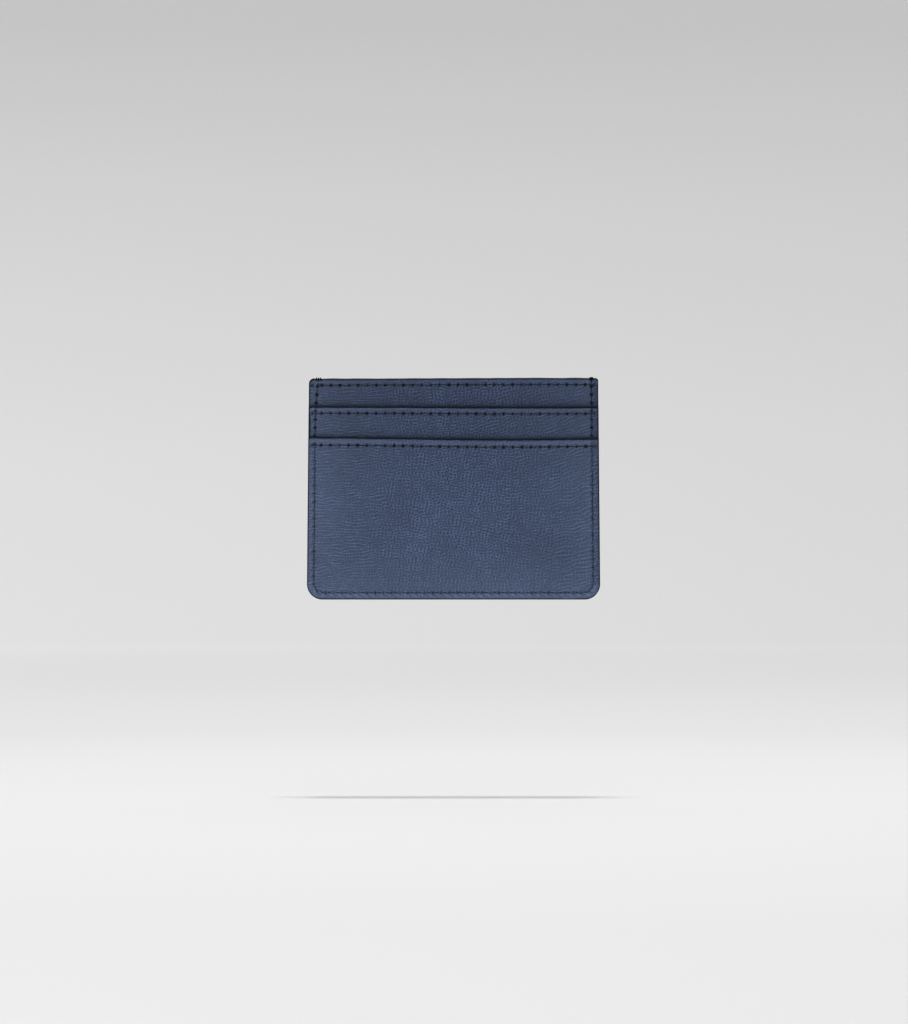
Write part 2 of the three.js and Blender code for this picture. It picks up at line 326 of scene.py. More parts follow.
# Painted highlight on the band that puffs out above a mouth's row.
MOUTH_HIGHLIGHT_BAND = (1.3, 0.8)
FLAT_RIM = (0.4, 1.2)  # the border's puff starts between these distances from the edge
ROW_FADE = (-0.6, 0.2)  # a row's groove ends between these distances inside its last hole


def needle_holes(off, turn, pitch, count, seed):
    """Round dimples on a line of stitches, some deeper than others.

    off is the distance from the line, and turn the way along it as an angle, a stitch a turn.
    """
    strength = np.random.default_rng(seed).uniform(*HOLE_STRENGTH, count + 1)
    strength[[0, -1]] = END_HOLE
    place = turn / (2 * np.pi)
    nearest = np.clip(np.rint(place), 0, count).astype(int)
    run_off = pitch * (place - nearest)
    return strength[nearest] * band(np.hypot(off, run_off), 0.0, HOLE_WIDTH)


def seam_relief(x, z):
    """The closing seam's groove, its needle holes, and the border that puffs out between stitches.

    Gives the height that they add, how strongly a point is in a hole, for the holes' painted shadow,
    and how much painted highlight falls on the puffed border.
    """
    off = edge_distance(x, z) - seam_inset(x, z)
    turn = 2 * np.pi * seam_run(x, z) / SEAM_PITCH
    at_hole = 0.5 + 0.5 * np.cos(turn)
    groove = SEAM_GROOVE * band(off, *GROOVE_BAND) * (0.6 + 0.4 * at_hole)
    hole = needle_holes(off, turn, SEAM_PITCH, SEAM_COUNT, SEAM_HOLE_SEED)
    between = 0.5 - 0.5 * np.cos(turn + PLEAT_SLANT * off)
    flat_edge = smooth(edge_distance(x, z), *FLAT_RIM)
    puff = BORDER_PUFF * band(off, *BORDER_BAND) * (0.55 + 0.45 * between) * flat_edge
    ease = 0.5 * BORDER_PUFF * band(off, *INNER_BAND) * between
    pucker = band(off, *PUCKER_BAND) * between**3
    # Painted highlight on the puffed border and on the bump beside each stitch.
    lift = band(off, *BORDER_HIGHLIGHT_BAND) * (0.1 + 0.15 * between) + 0.95 * pucker
    hole *= SEAM_HOLE + (1 - SEAM_HOLE) * smooth(z, *SEAM_TIGHT)
    return puff + ease + PUCKER * pucker - groove - HOLE_DEPTH * hole, hole, lift


def row_relief(level, x, z):
    """The groove and needle holes of a mouth's row, and the band that puffs out above it.

    Gives the same three values as seam_relief.
    """
    off = z - row_height(level, x)
    pitch = 2 * row_ends(level) / row_count(level)
    turn = 2 * np.pi * (x + row_ends(level)) / pitch
    at_hole = 0.5 + 0.5 * np.cos(turn)
    sewn = smooth(row_ends(level) - np.abs(x), *ROW_FADE)
    groove = ROW_GROOVE * band(off, *ROW_GROOVE_BAND) * (0.5 + 0.5 * at_hole) * sewn
    hole = needle_holes(off, turn, pitch, row_count(level), ROW_HOLE_SEED + LEVELS.index(level))
    between = 0.5 - 0.5 * np.cos(turn)
    puff = ROW_PUFF * band(off, *MOUTH_BAND) * (0.75 + 0.25 * between)
    ease = 0.35 * ROW_PUFF * band(off, *UNDER_BAND) * between
    # Painted highlight on the puffed band above the row.
    lift = (0.38 + 0.1 * LEVELS.index(level)) * band(off, *MOUTH_HIGHLIGHT_BAND)
    return puff + ease - groove - HOLE_DEPTH * hole, hole, lift


# ---- A panel's face ----

CROWN_START = 0.3  # how far inside the seam a panel starts to rise
CROWN_REACH = 8.0  # and how far it takes to rise to its crown
CROWN_POWER = 1.25
PRESSED_BAND = (0.0, 0.5)  # the grain is pressed flat here along the seam
PRESSED_GRAIN = 0.3  # what is left of it
GRAIN_DEPTH = 0.035  # how far the net's ridges stand above, and its pits below, the smooth face
EDGE_ROLL = 0.6  # radius by which a face turns down at the sides and the bottom
MOUTH_ROLL = 0.6
EDGE_HIGHLIGHT = 0.55  # how strongly painted highlight pales the colour towards the sides and the bottom
EDGE_HIGHLIGHT_REACH = 14.0  # and how far in from them
BORDER_HIGHLIGHT_LOSS = {-1: 0.35, 1: 0.85}  # how much of that painted highlight the left and right borders outside the seam lose
HIGHLIGHT_LOSS_EDGE = (-3.5, -2.0)  # that eases in over these distances, outwards
HIGHLIGHT_LOSS_FOOT = (2, 8)  # and over these heights
# The most painted highlight a point gets.
HIGHLIGHT_LIMIT = 1.7
TOP_SHADE = 0.27  # painted shade: how much darker the colour gets from a third of the height to above the top
SHADE_HEIGHTS = (25, HEIGHT + 5)
# The shadow that the panel in front casts above its mouth, as strengths and the heights they reach.
MOUTH_SHADES = ((0.52, 0.55), (0.15, 3.0))


def lay(level, x, z):
    """A panel's smooth face: pressed thin in the margin, rising to its crown inside the seam."""
    inside = np.maximum(soft_distance(x, z) - SEAM_INSET - CROWN_START, 0)
    rise = 1 - np.exp(-((inside / CROWN_REACH) ** CROWN_POWER))
    return level["border"] + (level["crown"] - level["border"]) * rise


def roll(distance, radius):
    """How far a face has turned down at a distance from the edge of a quarter round."""
    over = np.clip(radius - distance, 0, radius)
    return radius - np.sqrt(radius**2 - over**2)


def colour_masks(level, x, z, grain, hole, lift):
    """What a panel's colour follows: its grain, the painted shadow in its holes, its painted
    highlights and its painted shade.
    """
    edge = edge_distance(x, z)
    # Painted highlight, paler towards the sides and the bottom, with less of it on the borders
    # outside the seam.
    edge_highlight = EDGE_HIGHLIGHT * np.exp(-edge / EDGE_HIGHLIGHT_REACH)
    highlight_loss = np.where(x > 0, BORDER_HIGHLIGHT_LOSS[1], BORDER_HIGHLIGHT_LOSS[-1])
    highlight_loss = highlight_loss * smooth(-edge, *HIGHLIGHT_LOSS_EDGE) * smooth(z, *HIGHLIGHT_LOSS_FOOT)
    shade = TOP_SHADE * smooth(z, *SHADE_HEIGHTS)
    index = LEVELS.index(level)
    if index + 1 < len(LEVELS):
        gap = np.maximum(z - mouth_height(LEVELS[index + 1], x), 0)
        shade += sum(strength * np.exp(-gap / reach) for strength, reach in MOUTH_SHADES)
    # hole is painted shadow in the needle holes, lift is painted highlight, shade is painted shade
    # and shadow.
    return {
        "grain": 0.5 + 0.5 * grain,
        "hole": np.clip(HOLE_CORE * hole, 0, 1),
        "lift": np.clip((lift + edge_highlight) * (1 - highlight_loss), 0, HIGHLIGHT_LIMIT),
        "shade": np.clip(shade, 0, 1),
    }


def panel_face(level, x, z, seed):
    """Depth of a panel's leather face, with the masks that its colour follows.

    The depth is the smooth face, plus both kinds of stitching, plus the grain, which is pressed
    flat along the seam, less the rounding of the edges.
    """
    seam, seam_hole, border_highlight = seam_relief(x, z)
    row, row_hole, mouth_highlight = row_relief(level, x, z)
    edge = edge_distance(x, z)
    pressed = np.clip(1 - band(edge - seam_inset(x, z), *PRESSED_BAND), PRESSED_GRAIN, 1)
    grain = grain_net(x, z, seed)
    below_mouth = np.maximum(mouth_height(level, x) - EDGE_PAINT - z, 0)
    depth = lay(level, x, z) + seam + row + GRAIN_DEPTH * grain * pressed
    depth -= roll(edge, EDGE_ROLL) + 0.5 * roll(below_mouth, MOUTH_ROLL)
    return depth, colour_masks(level, x, z, grain, seam_hole + row_hole, border_highlight + mouth_highlight)


# ---- Meshes ----

def make_object(name, points, *face_sets, masks=None):
    """A smooth mesh object from points in millimetres and sets of faces with equal corner counts."""
    mesh = bpy.data.meshes.new(name)
    mesh.vertices.add(len(points))
    mesh.vertices.foreach_set("co", (points * MM).astype(np.float32).ravel())
    corners = np.concatenate([faces.ravel() for faces in face_sets])
    sizes = np.concatenate([np.full(len(faces), faces.shape[1]) for faces in face_sets])
    mesh.loops.add(len(corners))
    mesh.loops.foreach_set("vertex_index", corners.astype(np.int32))
    mesh.polygons.add(len(sizes))
    mesh.polygons.foreach_set("loop_start", (np.cumsum(sizes) - sizes).astype(np.int32))
    mesh.update(calc_edges=True)
    mesh.validate()
    mesh.polygons.foreach_set("use_smooth", np.full(len(mesh.polygons), True))
    for key, values in (masks or {}).items():
        attribute = mesh.attributes.new(key, "FLOAT", "POINT")
        attribute.data.foreach_set("value", values.astype(np.float32).ravel())
    piece = bpy.data.objects.new(name, mesh)
    bpy.context.scene.collection.objects.link(piece)
    return piece


def make_outward(name, points, quads, shade=None):
    """An object from closed tubes, with their faces turned outwards, and its shade at each point."""
    masks = {} if shade is None else {"shade": np.broadcast_to(shade, len(points))}
    piece = make_object(name, points, quads, masks=masks)
    work = bmesh.new()
    work.from_mesh(piece.data)
    bmesh.ops.recalc_face_normals(work, faces=work.faces)
    work.to_mesh(piece.data)
    work.free()
    return piece


def finish_piece(piece, material, slot, *nodes):
    """Gives a piece its material and body, and hides the nodes that it stands for."""
    piece.data.materials.append(material)
    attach(piece, "root")
    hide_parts(*nodes)


def grid_quads(rows, columns, start=0):
    """The four-sided faces of a grid of points, row after row."""
    first = start + np.arange(rows - 1)[:, None] * columns + np.arange(columns - 1)[None, :]
    corners = (first, first + 1, first + columns + 1, first + columns)
    return np.stack(corners, -1).reshape(-1, 4)


def ring_quads(rings, sides):
    """The four-sided faces between rings of points, each ring joined to the next."""
    start = sides * np.arange(rings - 1)[:, None]
    one = np.arange(sides)
    nxt = (one + 1) % sides
    walls = np.stack((start + one, start + nxt, start + sides + nxt, start + sides + one), -1)
    return walls.reshape(-1, 4)


def cap_quads(sides):
    """Four-sided faces that close one ring, each a strip from one side of it to the other."""
    low = np.arange(sides // 2 - 1)
    high = sides - 1 - low
    return np.stack((low, high, high - 1, low + 1), -1)


def tube_quads(rings, sides):
    """The faces of a tube of rings, with both ends closed."""
    cap = cap_quads(sides)
    return np.concatenate((ring_quads(rings, sides), cap, cap[:, ::-1] + (rings - 1) * sides))


def joined(tubes):
    """The points and faces of several tubes as one set of points and one of faces."""
    starts = np.cumsum([0] + [len(points) for points, _ in tubes])
    points = np.concatenate([points for points, _ in tubes])
    return points, np.concatenate([quads + start for (_, quads), start in zip(tubes, starts)])


def carried(path, first, second, profile):
    """A closed profile carried along a path, with both ends closed.

    path is n points, first and second the two directions that the profile's coordinates run
    along at each of them, and profile is n sets of m points in those directions.
    """
    points = path[:, None] + profile[..., :1] * first[:, None] + profile[..., 1:] * second[:, None]
    return points.reshape(-1, 3), tube_quads(*profile.shape[:2])


def each(direction, count):
    """One direction, once for each of many points."""
    return np.tile(np.array(direction, float), (count, 1))


def rim_of(ids):
    """The ids round the edge of a grid, once round."""
    return np.concatenate((ids[0, :-1], ids[:-1, -1], ids[-1, :0:-1], ids[:0:-1, 0]))


def shell(sign, x, z, outer, inner, coarse=1):
    """Points and faces of a closed sheet between two depths over one grid of x and z.

    The outer grid comes first, then the inner one, which keeps one point in `coarse`, and a strip
    of many-cornered faces joins their rims.
    """
    kept = np.s_[::coarse, ::coarse]
    outside = np.stack((x, sign * outer, z), -1).reshape(-1, 3)
    inside = np.stack((x[kept], sign * inner[kept], z[kept]), -1)
    ids = np.arange(x.size).reshape(x.shape)
    inner_ids = x.size + np.arange(inside[..., 0].size).reshape(inside.shape[:2])
    front = grid_quads(*x.shape)
    back = grid_quads(*inner_ids.shape, x.size)[:, ::-1]
    rim = rim_of(ids)
    inner_rim = rim_of(inner_ids)
    span = np.arange(coarse, -1, -1)
    first = coarse * np.arange(len(inner_rim))
    fine = rim[(first[:, None] + span) % len(rim)]
    strip = np.column_stack((inner_rim, np.roll(inner_rim, -1), fine))
    sets = (front, back, strip)
    if sign > 0:
        sets = tuple(faces[:, ::-1] for faces in sets)
    return np.concatenate((outside, inside.reshape(-1, 3))), sets


# ---- Panels ----

FINE = 0.26  # from one point of a leather face to the next where it shows
COARSE = 1.5  # where it is hidden
CORNER_STEP = 0.33
BACK_COARSE = 4  # the hidden side keeps one point in this many
HIDDEN_LAP = 1.5  # how far a panel's fine part reaches below the mouth in front of it
MOUTH_EASE = 9.0  # how far below a mouth the grid starts to follow its sag
THINNEST = 0.12  # what a needle hole leaves of the leather
LINING_SHORT = 0.1  # how far a lining stops inside its panel
GLUE = 0.02


def count_for(length, step):
    """How many points cover a length, one more than a multiple of BACK_COARSE."""
    return BACK_COARSE * int(np.ceil(length / step / BACK_COARSE)) + 1


def heights(level, inset, step):
    """Heights of a panel's rows, close together in the bottom corners and where it shows."""
    index = LEVELS.index(level)
    top = level["mouth"]
    shown_from = CORNER
    if index + 1 < len(LEVELS):
        shown_from = LEVELS[index + 1]["mouth"] - HIDDEN_LAP
    turn = np.linspace(0, np.pi / 2, count_for(CORNER, CORNER_STEP))
    parts = [inset + (CORNER - inset) * (1 - np.cos(turn))]
    if shown_from > CORNER:
        parts.append(np.linspace(CORNER, shown_from, count_for(shown_from - CORNER, COARSE))[1:])
    parts.append(np.linspace(shown_from, top, count_for(top - shown_from, step))[1:])
    return np.concatenate(parts)


def panel_grid(level, inset, step, top_inset=0.0):
    """A grid of x and z over a panel, with its top row along the mouth."""
    rows = heights(level, inset, step)
    across = np.linspace(-1, 1, count_for(2 * HALF_BOTTOM, step))
    z = np.repeat(rows[:, None], len(across), 1)
    body = level["name"] == "body"
    left = side_at(z, inset, TOP_CORNER[-1] if body else 0.0)
    right = side_at(z, inset, TOP_CORNER[1] if body else 0.0)
    x = across[None, :] * np.where(across[None, :] < 0, left, right)
    lifted = smooth(z, level["mouth"] - MOUTH_EASE, level["mouth"])
    shift = mouth_height(level, x) - level["mouth"] - EDGE_PAINT - top_inset
    return x, z + shift * lifted


def leather_panel(face, level, material):
    """A leather panel: the embossed face over a smooth back, one leather's thickness behind."""
    sign = FACES[face]
    seed = LEATHER_SEED + 10 * LEVELS.index(level) + (sign + 1) // 2
    x, z = panel_grid(level, EDGE_PAINT, FINE)
    depth, masks = panel_face(level, x, z, seed)
    inner = np.minimum(lay(level, x, z) - level["leather"], depth - THINNEST)
    points, face_sets = shell(sign, x, z, depth, inner, BACK_COARSE)
    kept = np.s_[::BACK_COARSE, ::BACK_COARSE]
    both = {key: np.concatenate((v.ravel(), v[kept].ravel())) for key, v in masks.items()}
    name = f"{face}_{level['name']}"
    piece = make_object(f"{name}_leather", points, *face_sets, masks=both)
    finish_piece(piece, material, "leather", name)


def lining_panel(face, level, material):
    """The thin cloth bonded behind a panel, a little short of the mouth's paint."""
    x, z = panel_grid(level, EDGE_PAINT + LINING_SHORT, COARSE, LINING_SHORT)
    outer = lay(level, x, z) - level["leather"] - GLUE
    points, face_sets = shell(FACES[face], x, z, outer, outer - LINING + GLUE)
    name = f"{face}_{level['name']}_lining"
    piece = make_object(f"{name}_cloth", points, *face_sets)
    finish_piece(piece, material, "lining", name)


# ---- Stitches ----

THREAD_RADIUS = 0.18
STITCH_RINGS = 7
STITCH_SIDES = 8
STITCH_SINK = 0.35  # how far below its arch's foot a stitch's end lies
STITCH_TWIST = 2.2  # turns of the ply in one stitch
PLY_DEPTH = 0.16
HOLE_GAP = 0.24  # from the middle of a needle hole to where a stitch dives
STITCH_LEAN = 0.26  # how far a closing stitch's ends stray to either side of the seam
BACK_TACK = 0.3  # how far beside the first and last closing stitch its second pass lies
TACK_ASIDE = np.array([[1.0, 0.0, 0.0], [-1.0, 0.0, 0.0]])
SEAM_STRAY = 0.04  # how unevenly the closing seam's holes and a row's are placed
ROW_STRAY = 0.05
SEAM_SINK = 0.1  # how far below the smooth face a stitch's foot lies, in the seam and in a row
ROW_SINK = 0.02
SEAM_ARCH = 0.02
STEP_ARCH = 0.35  # how much higher a stitch arches where it steps over a mouth
SEAM_UNEVEN = (-0.02, 0.03)
ROW_ARCH = (-0.06, 0.0)
BASE_OUT = 0.35  # the hidden row lies this far in front of the body, and arches by the next
BASE_ARCH = 0.05
BASE_END = 0.5
# Where the closing thread is wound over the top edge at each end, as shares of the whole width.
WRAP_PLACES = (-0.5, 0.0, 0.5)
WRAP_WIDTH = {-1: 1.3, 1: 0.7}
WRAP_DROP = 1.3  # how far down the face a turn starts
WRAP_RADIUS = THREAD_RADIUS * 1.3
WRAP_LEAN = 0.25  # how far aside a turn starts
WRAP_OUT = 0.24  # how far a turn's middle lies outside the pressed body
WRAP_OVER = 0.12  # and above the mouth
WRAP_DIVE = 0.3  # how deep it dives at its start
WRAP_FOOT = 0.08  # over this share of its way
WRAP_POINTS = 16
# Painted shade of the thread: none on the stitches, and full on the turns over the top edge, where
# they crowd together.
THREAD_SHADE = 0.0
WRAP_SHADE = 1.0


def stitch_tubes(starts, ends, outwards, arch):
    """Points and faces of short twisted threads, each arching from one needle hole to the next.

    A stitch's centreline is a straight line plus an arch outwards that starts and ends below the
    surface. Its section is a circle with two plies that turn along it, and closes to a point.
    """
    t = np.linspace(0, 1, STITCH_RINGS)
    along = ends - starts
    ahead = along / np.linalg.norm(along, axis=1, keepdims=True)
    aside = np.cross(ahead, outwards)
    aside /= np.linalg.norm(aside, axis=1, keepdims=True)
    up = np.cross(aside, ahead)
    up *= np.sign((up * outwards).sum(1, keepdims=True))
    bow = np.sin(np.pi * t) ** 0.6
    middle = starts[:, None] + along[:, None] * t[None, :, None]
    lift = arch[:, None] * bow[None, :] - STITCH_SINK * (1 - bow[None, :])
    middle = middle + up[:, None] * lift[:, :, None]
    angle = 2 * np.pi * np.arange(STITCH_SIDES) / STITCH_SIDES
    ply = 1 + PLY_DEPTH * np.cos(2 * (angle[None, :] - np.pi * STITCH_TWIST * t[:, None]))
    taper = np.clip(1 - np.abs(2 * t - 1) ** 6, 0.04, 1) ** 0.5
    radius = THREAD_RADIUS * ply * taper[:, None]
    ring = (
        aside[:, None, None] * (radius * np.cos(angle))[None, :, :, None]
        + up[:, None, None] * (radius * np.sin(angle))[None, :, :, None]
    )
    points = (middle[:, :, None] + ring).reshape(-1, 3)
    first = STITCH_SIDES * STITCH_RINGS * np.arange(len(starts))
    quads = tube_quads(STITCH_RINGS, STITCH_SIDES)[None] + first[:, None, None]
    return points, quads.reshape(-1, 4)


def surface_depth(x, z):
    """Depth of the outermost panel's smooth face at a point, stepping in above each mouth."""
    depth = lay(LEVELS[0], x, z)
    for level in LEVELS[1:]:
        depth = np.where(z < mouth_height(level, x), lay(level, x, z), depth)
    return depth


def seam_thread(face, material):
    """The closing seam on one face: a stitch between each pair of needle holes, and its end turns."""
    sign = FACES[face]
    draw = np.random.default_rng(SEAM_THREAD_SEED + sign)
    x, z = seam_point(SEAM_PITCH * np.arange(SEAM_COUNT + 1))
    x = x + draw.normal(0, SEAM_STRAY, x.shape)
    depth = surface_depth(x, z) - SEAM_SINK
    holes = np.stack((x, sign * depth, z), -1)
    along = np.diff(holes, axis=0)
    along /= np.linalg.norm(along, axis=1, keepdims=True)
    lean = STITCH_LEAN * np.stack((-along[:, 2], 0 * along[:, 0], along[:, 0]), -1)
    starts = holes[:-1] + lean + HOLE_GAP * along
    ends = holes[1:] - lean - HOLE_GAP * along
    tacked = [0, -1]
    starts = np.concatenate((starts, starts[tacked] + BACK_TACK * TACK_ASIDE))
    ends = np.concatenate((ends, ends[tacked] + BACK_TACK * TACK_ASIDE))
    step = np.abs(starts[:, 1] - ends[:, 1])
    arch = SEAM_ARCH + STEP_ARCH * np.clip(step, 0, 1) + draw.uniform(*SEAM_UNEVEN, len(starts))
    stitches = stitch_tubes(starts, ends, each((0, sign, 0), len(starts)), arch)
    turns = joined([wrap_tube(sign, side, turn) for side in (-1, 1) for turn in WRAP_PLACES])
    shade = np.repeat((THREAD_SHADE, WRAP_SHADE), (len(stitches[0]), len(turns[0])))
    piece = make_outward(f"{face}_closing_seam_stitches", *joined([stitches, turns]), shade)
    finish_piece(piece, material, "thread", f"{face}_closing_seam_thread")


def wrap_tube(sign, side, turn):
    """One turn of thread over the top edge, up one face and over to the middle of the edge.

    Its path is a superellipse, straight on the face and round on top, and dives in at its start.
    """
    body = LEVELS[0]
    x = side * (half_width(HEIGHT) - seam_inset(side, HEIGHT)) + turn * WRAP_WIDTH[side]
    t = np.linspace(0, 1, WRAP_POINTS)
    angle = t * np.pi / 2
    y = (body["border"] + WRAP_OUT) * np.cos(angle) ** 0.5
    top = mouth_height(body, np.array(x)) + WRAP_OVER
    z = top - WRAP_DROP + WRAP_DROP * np.sin(angle) ** 0.5
    lean = WRAP_LEAN * (1 - t) * np.sign(turn)
    path = np.stack((x + lean, sign * y, z), -1)
    path[:, 1] -= sign * np.where(t < WRAP_FOOT, WRAP_DIVE, 0.0)
    ahead = np.gradient(path, axis=0)
    ahead /= np.linalg.norm(ahead, axis=1, keepdims=True)
    across = each((1, 0, 0), len(t))
    ring = 2 * np.pi * np.arange(STITCH_SIDES) / STITCH_SIDES
    profile = WRAP_RADIUS * np.stack((np.cos(ring), np.sin(ring)), -1)
    return carried(path, across, np.cross(ahead, across), np.repeat(profile[None], len(t), 0))


def row_thread(face, level, material):
    """The row of stitches under a mouth, a little uneven in height."""
    sign = FACES[face]
    draw = np.random.default_rng(ROW_THREAD_SEED + sign + 5 * LEVELS.index(level))
    count = row_count(level)
    x = np.linspace(-row_ends(level), row_ends(level), count + 1)
    z = row_height(level, x) + draw.normal(0, ROW_STRAY, x.shape)
    depth = lay(level, x, z) - ROW_SINK
    holes = np.stack((x, sign * depth, z), -1)
    arch = draw.uniform(*ROW_ARCH, count)
    gap = np.array([HOLE_GAP, 0.0, 0.0])
    tubes = stitch_tubes(holes[:-1] + gap, holes[1:] - gap, each((0, sign, 0), count), arch)
    name = f"{face}_{level['name']}_mouth"
    piece = make_outward(f"{name}_stitches", *tubes, THREAD_SHADE)
    finish_piece(piece, material, "thread", f"{name}_thread")


def base_seam(face, material):
    """The hidden row that stops a card in the middle pocket, as stitches across its room."""
    sign = FACES[face]
    low, high = box_mm(f"{face}_middle_pocket_base_seam")
    x = np.linspace(low[0] + BASE_END, high[0] - BASE_END, int((high[0] - low[0]) / ROW_STITCH) + 1)
    z = np.full_like(x, (low[2] + high[2]) / 2)
    depth = lay(LEVELS[0], x, z) + BASE_OUT
    holes = np.stack((x, sign * depth, z), -1)
    count = len(x) - 1
    tubes = stitch_tubes(holes[:-1], holes[1:], each((0, sign, 0), count), np.full(count, BASE_ARCH))
    piece = make_outward(f"{face}_base_seam_stitches", *tubes, THREAD_SHADE)
    finish_piece(piece, material, "thread", f"{face}_middle_pocket_base_seam")


# ---- Painted edges ----

BEAD_LAP = 0.05  # how far a mouth's paint reaches down over the leather
BEAD_OVER = 0.06  # and past it to each side
# Painted shade of the one edge paint, from 0, palest, to 1, darkest: the card pockets' mouths are
# darkened as painted shadow from their gaps, the top edge is left palest and the sides and the bottom
# lie between.
MOUTH_SHADE = {"body": 0.0, "middle_pocket": 1.0, "lower_pocket": 1.0}
CLOSING_SHADE = 0.46
BAR_LAP = 0.05  # how far the outermost bars stop inside the layers they paint
LOWER_LAP = 0.1
BULGE = {"body": 0.22, "middle_pocket": 0.2, "lower_pocket": 0.25}
BAR_DEPTH = 1.0  # how far in from the outline a bar reaches
BEAD_POINTS = 260
BEAD_WAVER = 0.06  # how unevenly thick a mouth's paint is, in waves of the next length
BEAD_WAVES = 9.0
BAR_WAVER = 0.05
BAR_WAVES = 12.0
BAR_STEP = 0.9  # about how far apart the outline's points lie


def lens_profile(half_thick, height):
    """A closed section, flat at its foot and round on top: half an ellipse over a low box."""
    angle = np.linspace(0, np.pi, 16)
    rounded = np.stack((half_thick * np.cos(angle), height * (0.35 + 0.65 * np.sin(angle))), -1)
    inner = half_thick / 3
    foot = np.array([[-half_thick, 0.0], [-inner, -0.05], [inner, -0.05], [half_thick, 0.0]])
    return np.concatenate((rounded, foot))


def mouth_edge(face, level, material):
    """The paint along a mouth: a half-round bead that follows the leather's edge."""
    body = level["name"] == "body"
    left, right = (
        half_width(level["mouth"]) - (TOP_CORNER[side] if body else EDGE_PAINT) for side in (-1, 1)
    )
    x = np.linspace(-left, right, BEAD_POINTS)
    foot = mouth_height(level, x) - EDGE_PAINT - BEAD_LAP
    thick = level["leather"] + LINING
    path = np.stack((x, FACES[face] * (lay(level, x, foot) - thick / 2), foot), -1)
    wobble = 1 + BEAD_WAVER * plane_waves(x, 0 * x, BEAD_SEED + LEVELS.index(level), BEAD_WAVES)
    profile = lens_profile(thick / 2 + BEAD_OVER, EDGE_PAINT + BEAD_LAP)[None] * wobble[:, None, None]
    tube = carried(path, each((0, 1, 0), len(x)), each((0, 0, 1), len(x)), profile)
    name = f"{face}_{level['name']}_mouth_edge"
    piece = make_outward(f"{name}_bead", *tube, MOUTH_SHADE[level["name"]])
    finish_piece(piece, material, "edge_paint", name)


def arc(centre, radius, angles):
    """Points on a circle, with their directions from its centre."""
    directions = np.stack((np.cos(angles), np.sin(angles)), -1)
    return np.array(centre) + radius * directions, directions


def half_edge(level, side):
    """A panel's edge from its mouth down one side to the middle of the bottom.

    It is the body's top corner, the straight side, the bottom corner and half the bottom, with
    both corners as arcs. Gives the points and their outward directions.
    """
    top = level["mouth"]
    z = np.linspace(top, CORNER, 90)[:-1]
    runs = []
    if level["name"] == "body":
        corner = TOP_CORNER[side]
        centre = (half_width(top - corner) - corner, top - corner)
        runs.append(arc(centre, corner, np.linspace(np.pi / 2, 0, 12)))
        z = z[z < top - corner]
    runs.append((np.stack((half_width(z), z), -1), each((1, 0), len(z))))
    runs.append(arc((BOTTOM_HALF, CORNER), CORNER, np.linspace(0, -np.pi / 2, 24)))
    x = np.linspace(BOTTOM_HALF, 0, 60)[1:]
    runs.append((np.stack((x, 0 * x), -1), each((0, -1), len(x))))
    points, outwards = (np.concatenate(rows) for rows in zip(*runs))
    return points * (side, 1), outwards * (side, 1)


def edge_path(level):
    """A panel's edge down the left side, along the bottom and up the right side.

    Gives its points between the faces, their outward directions and the direction through it.
    """
    left, right = half_edge(level, -1), half_edge(level, 1)
    flat = [np.concatenate((a, b[-2::-1])) for a, b in zip(left, right)]
    points, outwards = (np.insert(values, 1, 0.0, axis=1) for values in flat)
    return points, outwards, each((0, 1, 0), len(points))


def edge_bar(level, low, high):
    """One layer of the painted edge, between two depths, swept round the outline.

    Its section is flat inside the holder and bulges outwards like a flattened half circle.
    """
    path, outward, depthwise = edge_path(level)
    path[:, 1] = (low + high) / 2
    half = (high - low) / 2
    bulge = BULGE[level["name"]]
    angle = np.linspace(0, np.pi, 14)
    reach = np.stack((half * np.cos(angle), -bulge + bulge * np.sin(angle) ** 0.7), -1)
    foot = np.array([[-half, -BAR_DEPTH], [half, -BAR_DEPTH]])
    run = np.arange(len(path)) * BAR_STEP
    wobble = 1 + BAR_WAVER * plane_waves(run, 0 * run, BAR_SEED, BAR_WAVES)
    profile = np.concatenate((reach, foot))[None] * wobble[:, None, None]
    return carried(path, depthwise, outward, profile)


def closing_edge(material):
    """The paint over the sides, the bottom and the top corners: one bar for each layer there."""
    body, middle, lower = LEVELS
    bars = [edge_bar(body, -body["border"] + BAR_LAP, body["border"] - BAR_LAP)]
    for sign in (-1, 1):
        bars.append(edge_bar(middle, *sorted((sign * body["border"], sign * middle["border"]))))
        outermost = lower["border"] - LOWER_LAP
        bars.append(edge_bar(lower, *sorted((sign * middle["border"], sign * outermost))))
    piece = make_outward("closing_edge_bead", *joined(bars), CLOSING_SHADE)
    finish_piece(piece, material, "edge_paint", "closing_edge_paint")


# ---- Glued margins ----

MARGIN_POINTS = 5
MARGIN_IN = 0.6  # how far inside the seam a margin reaches


def margin_strip(name, level, low, high, material, node):
    """A U-shaped strip of turned-in leather between two depths, inside the painted edge."""
    path, outward, depthwise = edge_path(level)
    kept = path[:, 2] < level["mouth"] - EDGE_PAINT
    reach = np.linspace(-SEAM_INSET - MARGIN_IN, -EDGE_PAINT, MARGIN_POINTS)
    section = np.concatenate((
        np.stack((np.full(MARGIN_POINTS, high), reach), -1),
        np.stack((np.full(MARGIN_POINTS, low), reach[::-1]), -1),
    ))
    profile = np.repeat(section[None], kept.sum(), 0)
    piece = make_outward(name, *carried(path[kept], depthwise[kept], outward[kept], profile))
    finish_piece(piece, material, "leather", node)


def pocket_margin(face, behind, level, material):
    """The glued margin that closes a card pocket, between the panel behind it and its lining."""
    low = behind["border"]
    high = level["border"] - level["leather"] - LINING
    low, high = sorted((FACES[face] * low, FACES[face] * high))
    node = f"{face}_{level['name']}_seam_margin"
    margin_strip(f"{node}_leather", level, low, high, material, node)


# ---- Materials ----

